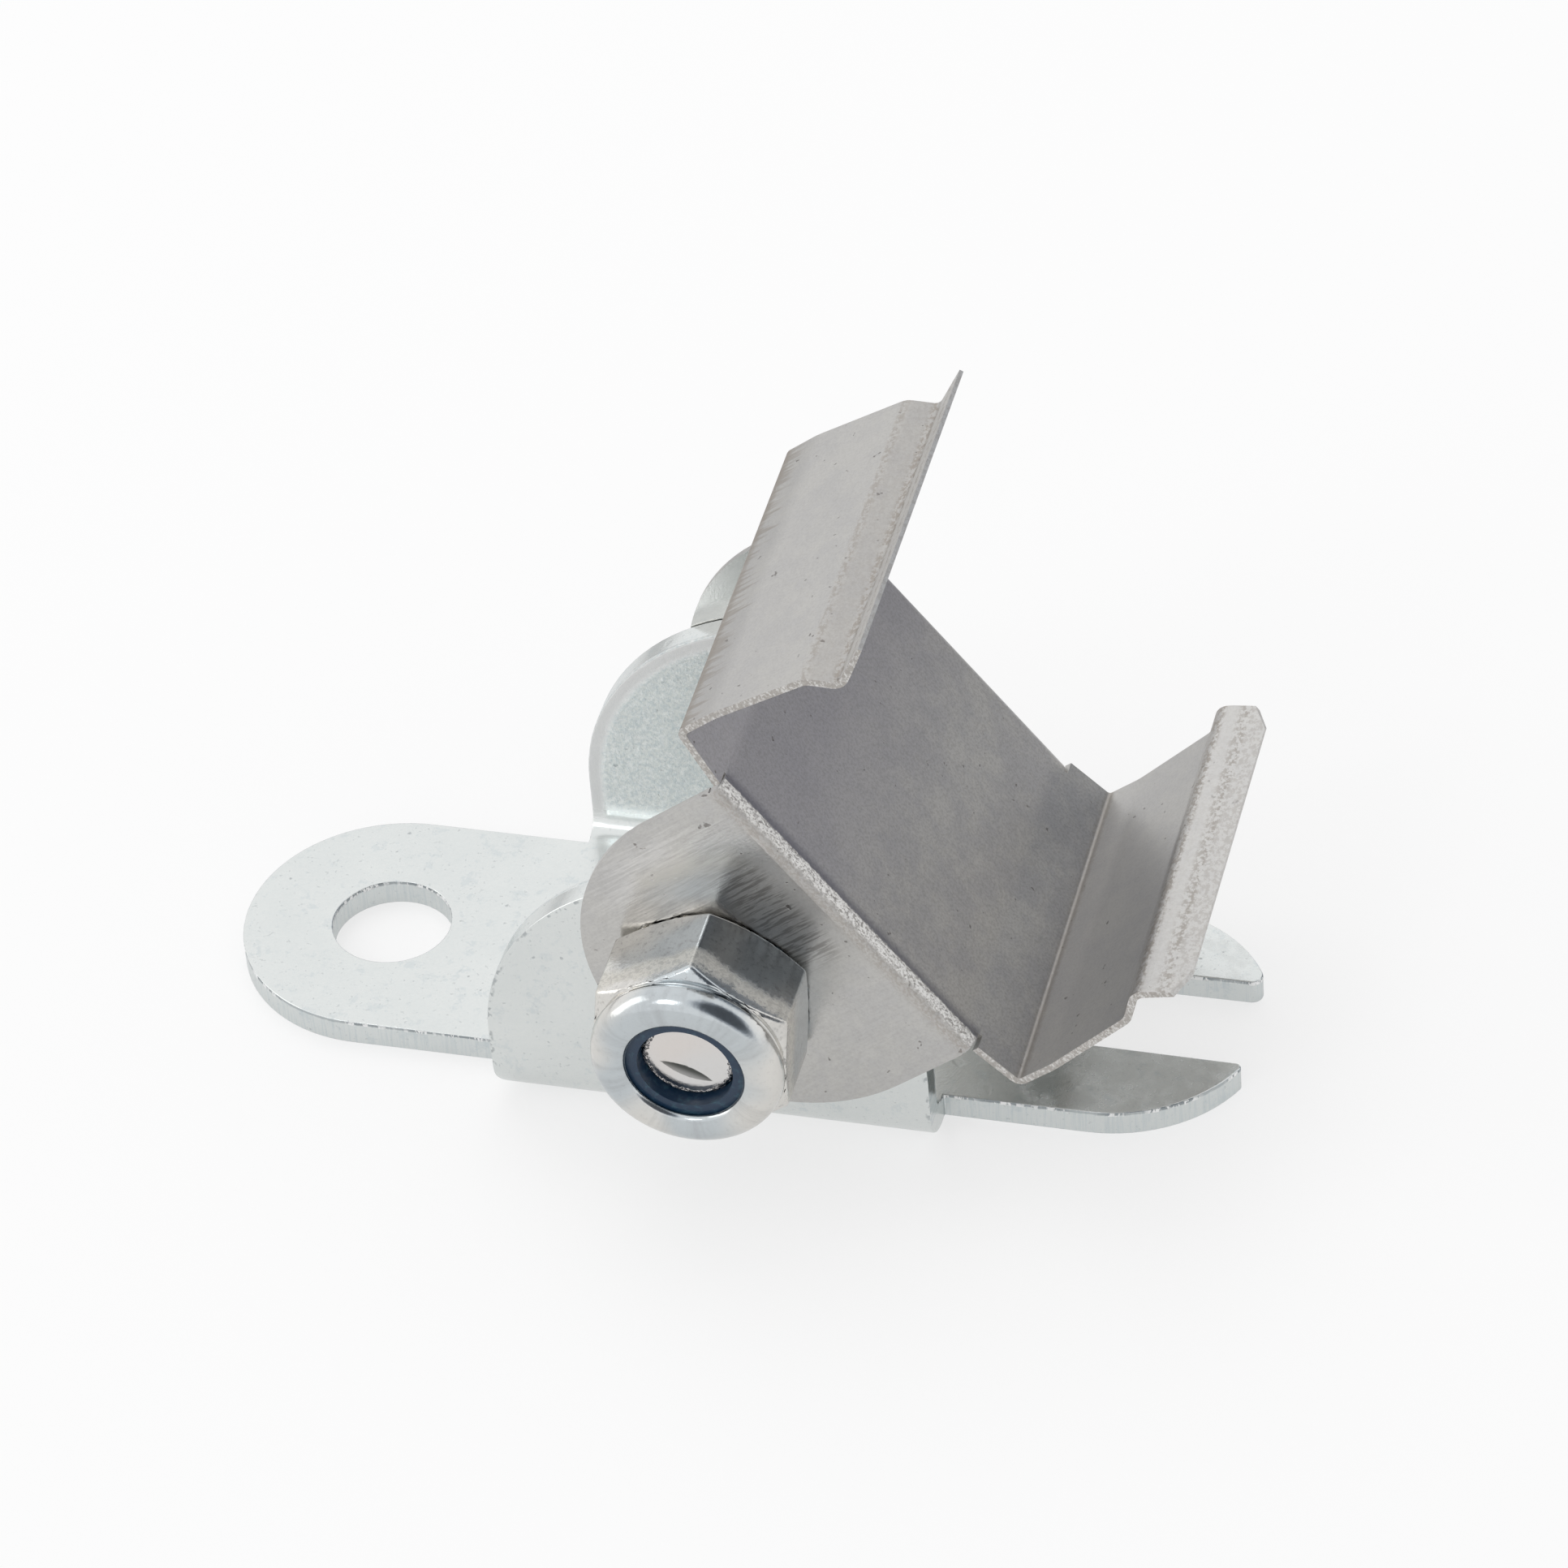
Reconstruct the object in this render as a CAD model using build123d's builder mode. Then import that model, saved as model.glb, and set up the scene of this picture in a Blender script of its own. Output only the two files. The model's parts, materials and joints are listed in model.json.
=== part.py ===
from build123d import *
from math import cos, radians, sin, sqrt, tan
import os

# A stamped bracket that carries a tilting spring clip on a bolt. Millimetres.
# The origin is on the underside of the bracket, below the bolt. +X runs along
# the strip towards its fork, and the bolt lies along Y.

# Base bracket: a strip with two wings folded up from its long edges
base_sheet = 1.5
strip_width = 16.0
fixing_end_x = -21.3  # centre of the round end that has the fixing hole
fixing_hole_dia = 6.4
fork_end_x = 18.3  # centre of the round end that has the open slot
slot_root_x = 14.8  # centre of the slot's closed end
slot_root_width = 6.0
slot_mouth_width = 6.2
front_prong_corner = 0.3
rear_prong_corner = 0.6
wing_left_x = -12.6
wing_right_x = 10.8
wing_gap = 18.7  # between the wings' inner faces
wing_round_z = 4.8  # centre of the wings' round tops
wing_bend_radius = 1.0
wing_left_corner = 1.8
wing_right_corner = 0.3

# Bolt, its nut and the fits along it
bolt_z = 10.15
thread_dia = 5.9
bolt_hole_play = 0.06  # radial, in the wings and the ears
side_play = 0.05  # between two faces that slide on each other
hex_across_flats = 10.0
hex_chamfer_deg = 30.0
bolt_head_height = 4.0
bolt_tip_dia = 4.5
bolt_tip_setback = 1.25  # from the crest of the nut's collar to the bolt's end
nut_turn_deg = -3.4
nut_hex_height = 4.9
nut_height = 6.45
nut_countersink = 0.35
groove_depth = 0.3  # how far the collar's root is in from the collar
collar_dia = 10.1
collar_wall = 0.7
collar_round = 1.15
collar_mouth_dia = 6.15
collar_lip_drop = 0.22  # from the collar's crest to the lip of its mouth
collar_lip_thickness = 0.3
insert_height = 1.9
insert_bore = 5.0

# Spring clip: a folded sheet with two lips and two ears
clip_sheet = 0.4
clip_opening_deg = 37.5  # from +X up to the way the clip opens
clip_shift = -0.5  # the clip's middle from the bolt, along the web
ear_shift = -0.2  # the ears' middle from the bolt, along the web
clip_depth = 22.36
web_height = 9.3  # bolt to the middle of the web's sheet
web_flat_length = 19.0
web_end_radius = 4.0
fold_width = 26.6
fold_rise = 0.65
flange_bow_rise = 2.9
shoulder_width = 25.3
shoulder_rise = 8.45
valley_width = 23.0
valley_rise = 9.85
lip_width = 25.4
lip_rise = 12.3
lip_taper = 0.18  # thickness lost towards the lip's edge
lip_taper_length = 2.0
fold_radius = 0.4
flange_bow_radius = 6.0
shoulder_radius = 1.0
valley_radius = 0.7
lip_corner_cut = 0.7
lip_corner_length = 1.75
ear_width = 20.0
ear_round_height = 4.2  # bolt to the centre of the ears' round ends
ear_bend_radius = 0.4
ear_bend_inset = 0.05  # from the ear's side to the end of its bend
relief_length = 0.1
relief_depth = 0.2  # how far the reliefs reach in from the ears' bends

os.makedirs("parts", exist_ok=True)

bolt_radius = thread_dia / 2
bolt_hole_radius = bolt_radius + bolt_hole_play
wing_middle_y = wing_gap / 2 + base_sheet / 2
wing_outer_y = wing_gap / 2 + base_sheet
ear_inner_y = wing_outer_y + side_play
ear_outer_y = ear_inner_y + clip_sheet
seat_y = ear_outer_y + side_play

# ---------------------------------------------------------------- base bracket
wing_radius = (wing_right_x - wing_left_x) / 2
wing_top_z = wing_round_z + wing_radius
base_bend_middle = wing_bend_radius + base_sheet / 2
fork_reach_x = fork_end_x + strip_width / 2
wing_cut_reach = wing_outer_y + strip_width  # further out than both wings

with BuildPart() as base_bracket:
    with BuildSketch(Plane.YZ.offset(wing_left_x)):
        with BuildLine():
            FilletPolyline(
                (-wing_middle_y, wing_top_z),
                (-wing_middle_y, base_sheet / 2),
                (wing_middle_y, base_sheet / 2),
                (wing_middle_y, wing_top_z),
                radius=base_bend_middle,
            )
        trace(line_width=base_sheet)
    extrude(amount=wing_right_x - wing_left_x)

    with BuildSketch(Plane.XZ) as wing_side:
        with BuildLine():
            RadiusArc((wing_left_x, wing_round_z), (wing_right_x, wing_round_z), wing_radius)
            Polyline(
                (wing_right_x, wing_round_z),
                (wing_right_x, 0),
                (wing_left_x, 0),
                (wing_left_x, wing_round_z),
            )
        make_face()
        left_corner, right_corner = wing_side.vertices().group_by(Axis.Y)[0].sort_by(Axis.X)
        fillet(left_corner, wing_left_corner)
        fillet(right_corner, wing_right_corner)
    extrude(amount=wing_cut_reach, both=True, mode=Mode.INTERSECT)

    with BuildSketch():
        with Locations(((fixing_end_x + fork_end_x) / 2, 0)):
            SlotCenterToCenter(fork_end_x - fixing_end_x, strip_width)
    extrude(amount=base_sheet)

    with BuildSketch():
        with Locations((fixing_end_x, 0)):
            Circle(fixing_hole_dia / 2)
        with Locations((slot_root_x, 0)):
            Circle(slot_root_width / 2)
        with BuildLine():
            Polyline(
                (slot_root_x, -slot_root_width / 2),
                (fork_reach_x, -slot_mouth_width / 2),
                (fork_reach_x, slot_mouth_width / 2),
                (slot_root_x, slot_root_width / 2),
                close=True,
            )
        make_face()
    extrude(amount=base_sheet, mode=Mode.SUBTRACT)
    prong_tips = base_bracket.edges().filter_by(Axis.Z).sort_by(Axis.X)[-2:]
    fillet(prong_tips.sort_by(Axis.Y)[0], front_prong_corner)
    prong_tips = base_bracket.edges().filter_by(Axis.Z).sort_by(Axis.X)[-2:]
    fillet(prong_tips.sort_by(Axis.Y)[-1], rear_prong_corner)

    with BuildSketch(Plane.XZ):
        with Locations((0, bolt_z)):
            Circle(bolt_hole_radius)
    extrude(amount=wing_outer_y, both=True, mode=Mode.SUBTRACT)

# ---------------------------------------------------------------- spring clip
web_along = (cos(radians(clip_opening_deg - 90)), 0, sin(radians(clip_opening_deg - 90)))
clip_plane = Plane(origin=(0, 0, bolt_z), x_dir=web_along, z_dir=(0, -1, 0))
bend_plane = Plane(origin=(0, 0, bolt_z), x_dir=(0, 1, 0), z_dir=web_along)
right_half = [
    (web_flat_length / 2, web_height),
    (fold_width / 2, web_height + fold_rise),
    (fold_width / 2, web_height + flange_bow_rise),
    (shoulder_width / 2, web_height + shoulder_rise),
    (valley_width / 2, web_height + valley_rise),
    (lip_width / 2, web_height + lip_rise),
]
half_radii = [fold_radius, flange_bow_radius, shoulder_radius, valley_radius]
clip_path = [(clip_shift - along, height) for along, height in reversed(right_half)]
clip_path += [(clip_shift + along, height) for along, height in right_half]
relief_width = ear_width + 2 * relief_length
relief_height = 4 * clip_sheet  # cuts through the whole of the web
relief_edge_y = ear_inner_y - ear_bend_radius - relief_depth
ear_middle_y = ear_inner_y + clip_sheet / 2
ear_bend_middle = ear_bend_radius + clip_sheet / 2
ear_top = web_height - ear_bend_middle
ear_left = ear_shift - ear_width / 2
ear_right = ear_shift + ear_width / 2
lip_top = web_height + lip_rise
lip_clear = lip_top + clip_sheet
lip_corner_slope = lip_corner_cut / lip_corner_length
lip_corner_end = lip_top - lip_corner_cut - clip_sheet * lip_corner_slope

with BuildPart() as spring_clip:
    # Web, flanges and lips are one bent strip
    with BuildSketch(clip_plane):
        with BuildLine():
            FilletPolyline(
                clip_path,
                radius=[*reversed(half_radii), web_end_radius, web_end_radius, *half_radii],
            )
        trace(line_width=clip_sheet)
        # The lips thin out towards their edges, on the side that faces the other lip
        for side, lip in ((-1, clip_path[:2]), (1, clip_path[:-3:-1])):
            tip, valley = (Vector(*point) for point in lip)
            lip_way = (tip - valley).normalized()
            across = lip_way.rotate(Axis.Z, side * 90)
            corner = tip + across * (clip_sheet / 2)
            thinned = corner - across * lip_taper
            with BuildLine():
                Polyline(corner, thinned, corner - lip_way * lip_taper_length, close=True)
            make_face(mode=Mode.SUBTRACT)
    extrude(amount=clip_depth / 2, both=True)

    # The far lip's corners are clipped
    with BuildSketch(bend_plane.offset(clip_shift)):
        with BuildLine():
            Polyline(
                (clip_depth / 2 - lip_corner_length - clip_sheet / lip_corner_slope, lip_clear),
                (clip_depth / 2 + clip_sheet, lip_clear),
                (clip_depth / 2 + clip_sheet, lip_corner_end),
                close=True,
            )
        make_face()
        mirror(about=Plane.YZ)
    extrude(amount=lip_width, mode=Mode.SUBTRACT)

    # Reliefs in the web's edges, where the ears leave it
    for side in (-1, 1):
        with BuildSketch(clip_plane.offset(side * relief_edge_y)):
            with Locations((ear_shift, web_height)):
                Rectangle(relief_width, relief_height)
        extrude(amount=side * clip_depth, mode=Mode.SUBTRACT)

    # Ears: a bend along each edge of the web, then a flat plate with a round end
    with BuildSketch(bend_plane.offset(ear_shift)):
        with BuildLine():
            bend_start = Line(
                (relief_edge_y - clip_sheet, web_height),
                (ear_middle_y - ear_bend_middle, web_height),
            )
            TangentArc(bend_start @ 1, (ear_middle_y, ear_top), tangent=bend_start % 1)
        trace(line_width=clip_sheet)
        mirror(about=Plane.YZ)
    extrude(amount=ear_width / 2 - ear_bend_inset, both=True)

    for side in (-1, 1):
        with BuildSketch(clip_plane.offset(side * ear_middle_y)):
            with BuildLine():
                RadiusArc((ear_right, ear_round_height), (ear_left, ear_round_height), ear_width / 2)
                Polyline(
                    (ear_left, ear_round_height),
                    (ear_left, ear_top),
                    (ear_right, ear_top),
                    (ear_right, ear_round_height),
                )
            make_face()
        extrude(amount=clip_sheet / 2, both=True)

    with BuildSketch(clip_plane):
        Circle(bolt_hole_radius)
    extrude(amount=ear_outer_y, both=True, mode=Mode.SUBTRACT)

# ---------------------------------------------------------------- bolt
hex_corner_radius = hex_across_flats / sqrt(3)
chamfer_drop = (hex_corner_radius - hex_across_flats / 2) * tan(radians(hex_chamfer_deg))
bolt_axis = Axis((0, 0, bolt_z), (0, 1, 0))
bolt_tip_y = -seat_y - nut_height + bolt_tip_setback
tip_chamfer = bolt_radius - bolt_tip_dia / 2
head_plane = Plane(origin=(0, seat_y, bolt_z), x_dir=(1, 0, 0), z_dir=(0, 1, 0))
head_section = Plane(origin=(0, seat_y, bolt_z), x_dir=(1, 0, 0), z_dir=(0, 0, 1))

with BuildPart() as bolt:
    with BuildSketch(head_plane):
        RegularPolygon(hex_across_flats / 2, 6, major_radius=False, rotation=30)
    extrude(amount=bolt_head_height)
    with BuildSketch(head_section):
        with BuildLine():
            Polyline(
                (0, 0),
                (hex_corner_radius, 0),
                (hex_corner_radius, bolt_head_height - chamfer_drop),
                (hex_across_flats / 2, bolt_head_height),
                (0, bolt_head_height),
                close=True,
            )
        make_face()
    revolve(axis=bolt_axis, mode=Mode.INTERSECT)
    with BuildSketch(head_plane):
        Circle(bolt_radius)
    extrude(amount=-(seat_y - bolt_tip_y))
    chamfer(bolt.edges().sort_by(Axis.Y)[0], tip_chamfer)

# ---------------------------------------------------------------- lock nut and insert
nut_plane = Plane(origin=(0, -seat_y, bolt_z), x_dir=(1, 0, 0), z_dir=(0, -1, 0))
nut_section = Plane(origin=(0, -seat_y, bolt_z), x_dir=(1, 0, 0), z_dir=(0, 0, -1))
flat_radius = hex_across_flats / 2
collar_radius = collar_dia / 2
mouth_radius = collar_mouth_dia / 2
pocket_radius = collar_radius - collar_wall
lip_top_height = nut_height - collar_lip_drop
insert_top = lip_top_height - collar_lip_thickness
insert_floor = insert_top - insert_height
tip_height = nut_height - bolt_tip_setback
insert_bore_radius = insert_bore / 2

with BuildPart() as lock_nut:
    with BuildSketch(nut_plane):
        RegularPolygon(flat_radius, 6, major_radius=False, rotation=30 + nut_turn_deg)
    extrude(amount=nut_hex_height)
    with BuildSketch(nut_section):
        with BuildLine():
            Polyline(
                (0, 0),
                (flat_radius, 0),
                (hex_corner_radius, chamfer_drop),
                (hex_corner_radius, nut_hex_height - chamfer_drop),
                (flat_radius, nut_hex_height),
                (0, nut_hex_height),
                close=True,
            )
        make_face()
    revolve(axis=bolt_axis, mode=Mode.INTERSECT)

    # Collar, rolled over its insert
    with BuildSketch(nut_section):
        with BuildLine():
            root = Line((0, nut_hex_height), (collar_radius - groove_depth, nut_hex_height))
            flare = Line(root @ 1, (collar_radius, nut_hex_height + groove_depth))
            wall = Line(flare @ 1, (collar_radius, nut_height - collar_round))
            crest_end = (collar_radius - collar_round, nut_height)
            crest = TangentArc(wall @ 1, crest_end, tangent=wall % 1)
            dip_end = (mouth_radius, lip_top_height)
            dip = TangentArc(crest @ 1, dip_end, tangent=crest % 1)
            Polyline(dip @ 1, (0, lip_top_height), root @ 0)
        make_face()
    revolve(axis=bolt_axis)

    # Countersink, thread and the insert's pocket
    with BuildSketch(nut_section):
        with BuildLine():
            Polyline(
                (0, 0),
                (bolt_radius + nut_countersink, 0),
                (bolt_radius, nut_countersink),
                (bolt_radius, insert_floor),
                (pocket_radius, insert_floor),
                (pocket_radius, insert_top),
                (mouth_radius, insert_top),
                (mouth_radius, lip_top_height),
                (0, lip_top_height),
                close=True,
            )
        make_face()
    revolve(axis=bolt_axis, mode=Mode.SUBTRACT)

with BuildPart() as nylon_insert:
    with BuildSketch(nut_section):
        with BuildLine():
            Polyline(
                (bolt_radius, insert_floor),
                (pocket_radius, insert_floor),
                (pocket_radius, insert_top),
                (insert_bore_radius, insert_top),
                (insert_bore_radius, tip_height - insert_bore_radius + bolt_tip_dia / 2),
                (bolt_radius, tip_height - tip_chamfer),
                close=True,
            )
        make_face()
    revolve(axis=bolt_axis)

base_bracket.part.label = "base_bracket"
spring_clip.part.label = "spring_clip"
bolt.part.label = "bolt"
lock_nut.part.label = "lock_nut"
nylon_insert.part.label = "nylon_insert"

export_step(base_bracket.part, "parts/base_bracket.step")
export_step(spring_clip.part, "parts/spring_clip.step")
export_step(bolt.part, "parts/bolt.step")
export_step(lock_nut.part, "parts/lock_nut.step")
export_step(nylon_insert.part, "parts/nylon_insert.step")
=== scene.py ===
"""A stamped bracket that carries a tilting spring clip, dressed and lit around its CAD frame."""

import json
import logging
import math
from dataclasses import dataclass
from enum import Enum
from typing import Any, NamedTuple

import bmesh
import bpy
from mathutils import Matrix, Vector


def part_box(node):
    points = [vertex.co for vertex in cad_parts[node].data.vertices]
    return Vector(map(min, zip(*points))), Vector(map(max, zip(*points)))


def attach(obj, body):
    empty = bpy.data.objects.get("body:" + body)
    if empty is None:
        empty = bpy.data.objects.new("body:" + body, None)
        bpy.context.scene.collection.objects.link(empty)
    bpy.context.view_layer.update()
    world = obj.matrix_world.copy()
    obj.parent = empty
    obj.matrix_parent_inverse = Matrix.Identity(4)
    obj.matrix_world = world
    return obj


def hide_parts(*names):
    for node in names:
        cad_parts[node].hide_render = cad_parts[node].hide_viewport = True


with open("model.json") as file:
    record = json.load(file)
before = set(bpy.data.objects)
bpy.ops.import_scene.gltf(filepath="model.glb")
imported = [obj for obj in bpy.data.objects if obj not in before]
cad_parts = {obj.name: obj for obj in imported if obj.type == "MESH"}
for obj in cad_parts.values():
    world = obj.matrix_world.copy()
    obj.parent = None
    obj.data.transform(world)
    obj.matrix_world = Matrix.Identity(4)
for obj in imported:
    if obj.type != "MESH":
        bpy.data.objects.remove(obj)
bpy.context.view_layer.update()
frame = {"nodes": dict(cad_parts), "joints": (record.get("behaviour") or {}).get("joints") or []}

MM = 0.001
BOLT_HEIGHT = frame["joints"][0]["pos_m"][2] / MM
WELD = 0.0005  # millimetres between points that are one
FLAT_DEGREES = 0.4  # between faces that are one
SHARP_DEGREES = 28.0  # between faces whose edge is eased
FLAT_WEIGHT = 100  # how far a large flat outweighs its rounded edges
Triple = tuple[float, float, float]
Colour = Triple
Point = Triple

log = logging.getLogger("bracket")


# ---------------------------------------------------------------- node trees


class Term:
    """A node's output, which Python's arithmetic extends with Math nodes."""

    def __init__(self, tree: "NodeTree", socket: bpy.types.NodeSocket) -> None:
        """Holds a socket and the tree that it is in."""
        self.tree = tree
        self.socket = socket

    def __add__(self, other: "Value") -> "Term":
        """Adds a value."""
        return self.tree.math("ADD", self, other)

    def __radd__(self, other: "Value") -> "Term":
        """Is added to a value."""
        return self.tree.math("ADD", other, self)

    def __sub__(self, other: "Value") -> "Term":
        """Takes a value away."""
        return self.tree.math("SUBTRACT", self, other)

    def __rsub__(self, other: "Value") -> "Term":
        """Is taken away from a value."""
        return self.tree.math("SUBTRACT", other, self)

    def __mul__(self, other: "Value") -> "Term":
        """Multiplies by a value."""
        return self.tree.math("MULTIPLY", self, other)

    def __rmul__(self, other: "Value") -> "Term":
        """Multiplies a value."""
        return self.tree.math("MULTIPLY", other, self)

    def __truediv__(self, other: "Value") -> "Term":
        """Divides by a value."""
        return self.tree.math("DIVIDE", self, other)

    def __rtruediv__(self, other: "Value") -> "Term":
        """Divides a value."""
        return self.tree.math("DIVIDE", other, self)

    def __abs__(self) -> "Term":
        """Drops the sign."""
        return self.tree.math("ABSOLUTE", self)


Value = Term | float | Triple


class NodeTree:
    """A node tree of either kind, with one way to add any node."""

    def __init__(self, tree: bpy.types.NodeTree) -> None:
        """Starts from an empty tree.

        Args:
            tree: The tree of a material, a world or a Geometry Nodes group.
        """
        self.tree = tree
        self.tree.nodes.clear()

    def node(self, kind: str, settings: dict[str, Any], sockets: dict) -> bpy.types.Node:
        """Adds a node.

        Args:
            kind: The node's type name.
            settings: Its properties, which are set first.
            sockets: Values or links, by input name or number.

        Returns:
            The new node.
        """
        made = self.tree.nodes.new(kind)
        for name, value in settings.items():
            setattr(made, name, value)
        for name, value in sockets.items():
            self.feed(made.inputs[name], value)
        return made

    def feed(self, socket: bpy.types.NodeSocket, value: Value) -> None:
        """Links or sets one input."""
        if isinstance(value, Term):
            self.tree.links.new(value.socket, socket)
        elif isinstance(value, tuple) and len(value) == 3 and len(socket.default_value) == 4:
            socket.default_value = (*value, 1.0)
        else:
            socket.default_value = value

    def term(self, node: bpy.types.Node, output: str | int = 0) -> Term:
        """Gives one output of a node as a term."""
        return Term(self, node.outputs[output])

    def math(self, operation: str, *values: Value) -> Term:
        """Adds a Math node and gives its result."""
        sockets = dict(enumerate(values))
        return self.term(self.node("ShaderNodeMath", {"operation": operation}, sockets))

    def vector(self, operation: str, *values: Value) -> Term:
        """Adds a Vector Math node and gives its vector."""
        sockets = dict(enumerate(values))
        return self.term(self.node("ShaderNodeVectorMath", {"operation": operation}, sockets))

    def dot(self, first: Value, second: Value) -> Term:
        """Gives the dot product of two vectors."""
        sockets = {0: first, 1: second}
        made = self.node("ShaderNodeVectorMath", {"operation": "DOT_PRODUCT"}, sockets)
        return self.term(made, "Value")

    def hypotenuse(self, first: Value, second: Value) -> Term:
        """Gives the length of two sides at a right angle."""
        return self.math("SQRT", first * first + second * second)

    def parts(self, vector: Term) -> tuple[Term, Term, Term]:
        """Splits a vector into its three numbers."""
        made = self.node("ShaderNodeSeparateXYZ", {}, {0: vector})
        return self.term(made, 0), self.term(made, 1), self.term(made, 2)

    def joined(self, x: Value, y: Value, z: Value) -> Term:
        """Makes a vector of three numbers."""
        return self.term(self.node("ShaderNodeCombineXYZ", {}, {0: x, 1: y, 2: z}))

    def ease(self, value: Term, low: float, high: float) -> Term:
        """Rises smoothly from 0 at low to 1 at high, or falls where low is above high."""
        settings = {"interpolation_type": "SMOOTHSTEP"}
        if low > high:
            made = self.node("ShaderNodeMapRange", settings, {0: value, 1: high, 2: low})
            return 1 - self.term(made)
        return self.term(self.node("ShaderNodeMapRange", settings, {0: value, 1: low, 2: high}))


class Paint(NodeTree):
    """The shader tree of one finish, measured in millimetres on the piece itself."""

    def __init__(self, name: str) -> None:
        """Makes the material and the coordinates that its patterns use.

        Args:
            name: The material's name.
        """
        self.material = bpy.data.materials.new(name)
        self.material.use_nodes = True
        super().__init__(self.material.node_tree)
        place = self.node("ShaderNodeTexCoord", {}, {})
        scaled = {0: self.term(place, "Object"), "Scale": 1 / MM}
        self.at = self.term(self.node("ShaderNodeVectorMath", {"operation": "SCALE"}, scaled))
        self.x, self.y, self.z = self.parts(self.at)
        self.facing = self.term(place, "Normal")
        self.facing_x, self.facing_y, self.facing_z = self.parts(self.facing)

    def noise(self, where: Term, scale: float, detail: float = 2.0, rough: float = 0.5) -> Term:
        """Gives soft noise from 0 to 1.

        Args:
            where: The coordinates.
            scale: How many lumps there are in a millimetre.
            detail: How many finer layers it has.
            rough: How strong the finer layers are.

        Returns:
            The noise.
        """
        sockets = {"Vector": where, "Scale": scale, "Detail": detail, "Roughness": rough}
        return self.term(self.node("ShaderNodeTexNoise", {}, sockets))

    def moved(self, x: float, y: float, z: float) -> Term:
        """Gives the piece's coordinates moved along, for a pattern of its own."""
        return self.vector("ADD", self.at, (x, y, z))

    def stretched(self, where: Term, x: float, y: float, z: float) -> Term:
        """Gives coordinates scaled by their own factor along each axis."""
        return self.vector("MULTIPLY", where, (x, y, z))

    def mixed(self, share: Value, first: Value, second: Value) -> Term:
        """Mixes two colours.

        Args:
            share: How much of the second shows.
            first: The colour at 0.
            second: The colour at 1.

        Returns:
            The mixed colour.
        """
        settings = {"data_type": "RGBA", "clamp_factor": True}
        return self.term(self.node("ShaderNodeMix", settings, {0: share, 6: first, 7: second}), 2)

    def bump(self, height: Term, depth: float, under: Term | None = None) -> Term:
        """Turns a height into a normal.

        Args:
            height: The height, from 0 to 1.
            depth: How many millimetres 1 stands for.
            under: A coarser bump to lie on.

        Returns:
            The normal.
        """
        sockets = {"Height": height, "Distance": depth * MM, "Strength": 1.0}
        if under is not None:
            sockets["Normal"] = under
        return self.term(self.node("ShaderNodeBump", {}, sockets))

    def finish(
        self, colour: Value, roughness: Value, normal: Term, metallic: Value, **fixed: float
    ) -> bpy.types.Material:
        """Closes the tree with its surface shader.

        Args:
            colour: The base colour.
            roughness: The roughness.
            normal: The normal.
            metallic: 1 for bare metal, 0 for plastic.
            fixed: Other inputs that are the same all over, with _ for a space.

        Returns:
            The material.
        """
        sockets: dict = {"Base Color": colour, "Roughness": roughness}
        sockets |= {"Normal": normal, "Metallic": metallic}
        sockets |= {name.replace("_", " "): value for name, value in fixed.items()}
        surface = self.node("ShaderNodeBsdfPrincipled", {}, sockets)
        self.node("ShaderNodeOutputMaterial", {}, {"Surface": self.term(surface)})
        return self.material


class Shape(NodeTree):
    """A Geometry Nodes tree with named sizes, which ends as a plain mesh."""

    def __init__(self, name: str, sizes: dict[str, float]) -> None:
        """Makes the group and its inputs.

        Args:
            name: The group's name.
            sizes: The name and value of each input.
        """
        group = bpy.data.node_groups.new(name, "GeometryNodeTree")
        super().__init__(group)
        group.interface.new_socket("Geometry", in_out="OUTPUT", socket_type="NodeSocketGeometry")
        self.sizes = sizes
        self.keys = {}
        for label in sizes:
            made = group.interface.new_socket(label, in_out="INPUT", socket_type="NodeSocketFloat")
            self.keys[label] = made.identifier
        self.given = self.node("NodeGroupInput", {}, {})

    def size(self, label: str) -> Term:
        """Gives a named input."""
        return self.term(self.given, label)

    def mesh(self, geometry: Term, material: bpy.types.Material) -> bpy.types.Mesh:
        """Closes the tree and evaluates it.

        Args:
            geometry: The finished geometry.
            material: What it is made of.

        Returns:
            A plain mesh.
        """
        real = self.term(self.node("GeometryNodeRealizeInstances", {}, {0: geometry}))
        dressed = self.node("GeometryNodeSetMaterial", {}, {"Geometry": real, "Material": material})
        self.node("NodeGroupOutput", {}, {0: self.term(dressed)})
        holder = bpy.data.objects.new(self.tree.name, bpy.data.meshes.new(self.tree.name))
        bpy.context.collection.objects.link(holder)
        modifier = holder.modifiers.new("shape", "NODES")
        modifier.node_group = self.tree
        for label, value in self.sizes.items():
            modifier[self.keys[label]] = value
        graph = bpy.context.evaluated_depsgraph_get()
        made = bpy.data.meshes.new_from_object(holder.evaluated_get(graph))
        bpy.data.objects.remove(holder)
        return made


# ---------------------------------------------------------------- finishes


class SheetMasks(NamedTuple):
    """How far each point of the bracket is on each kind of surface, from 0 to 1."""

    flat: Term
    edge: Term
    wing_edge: Term
    inside: Term
    wing: Term


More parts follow.
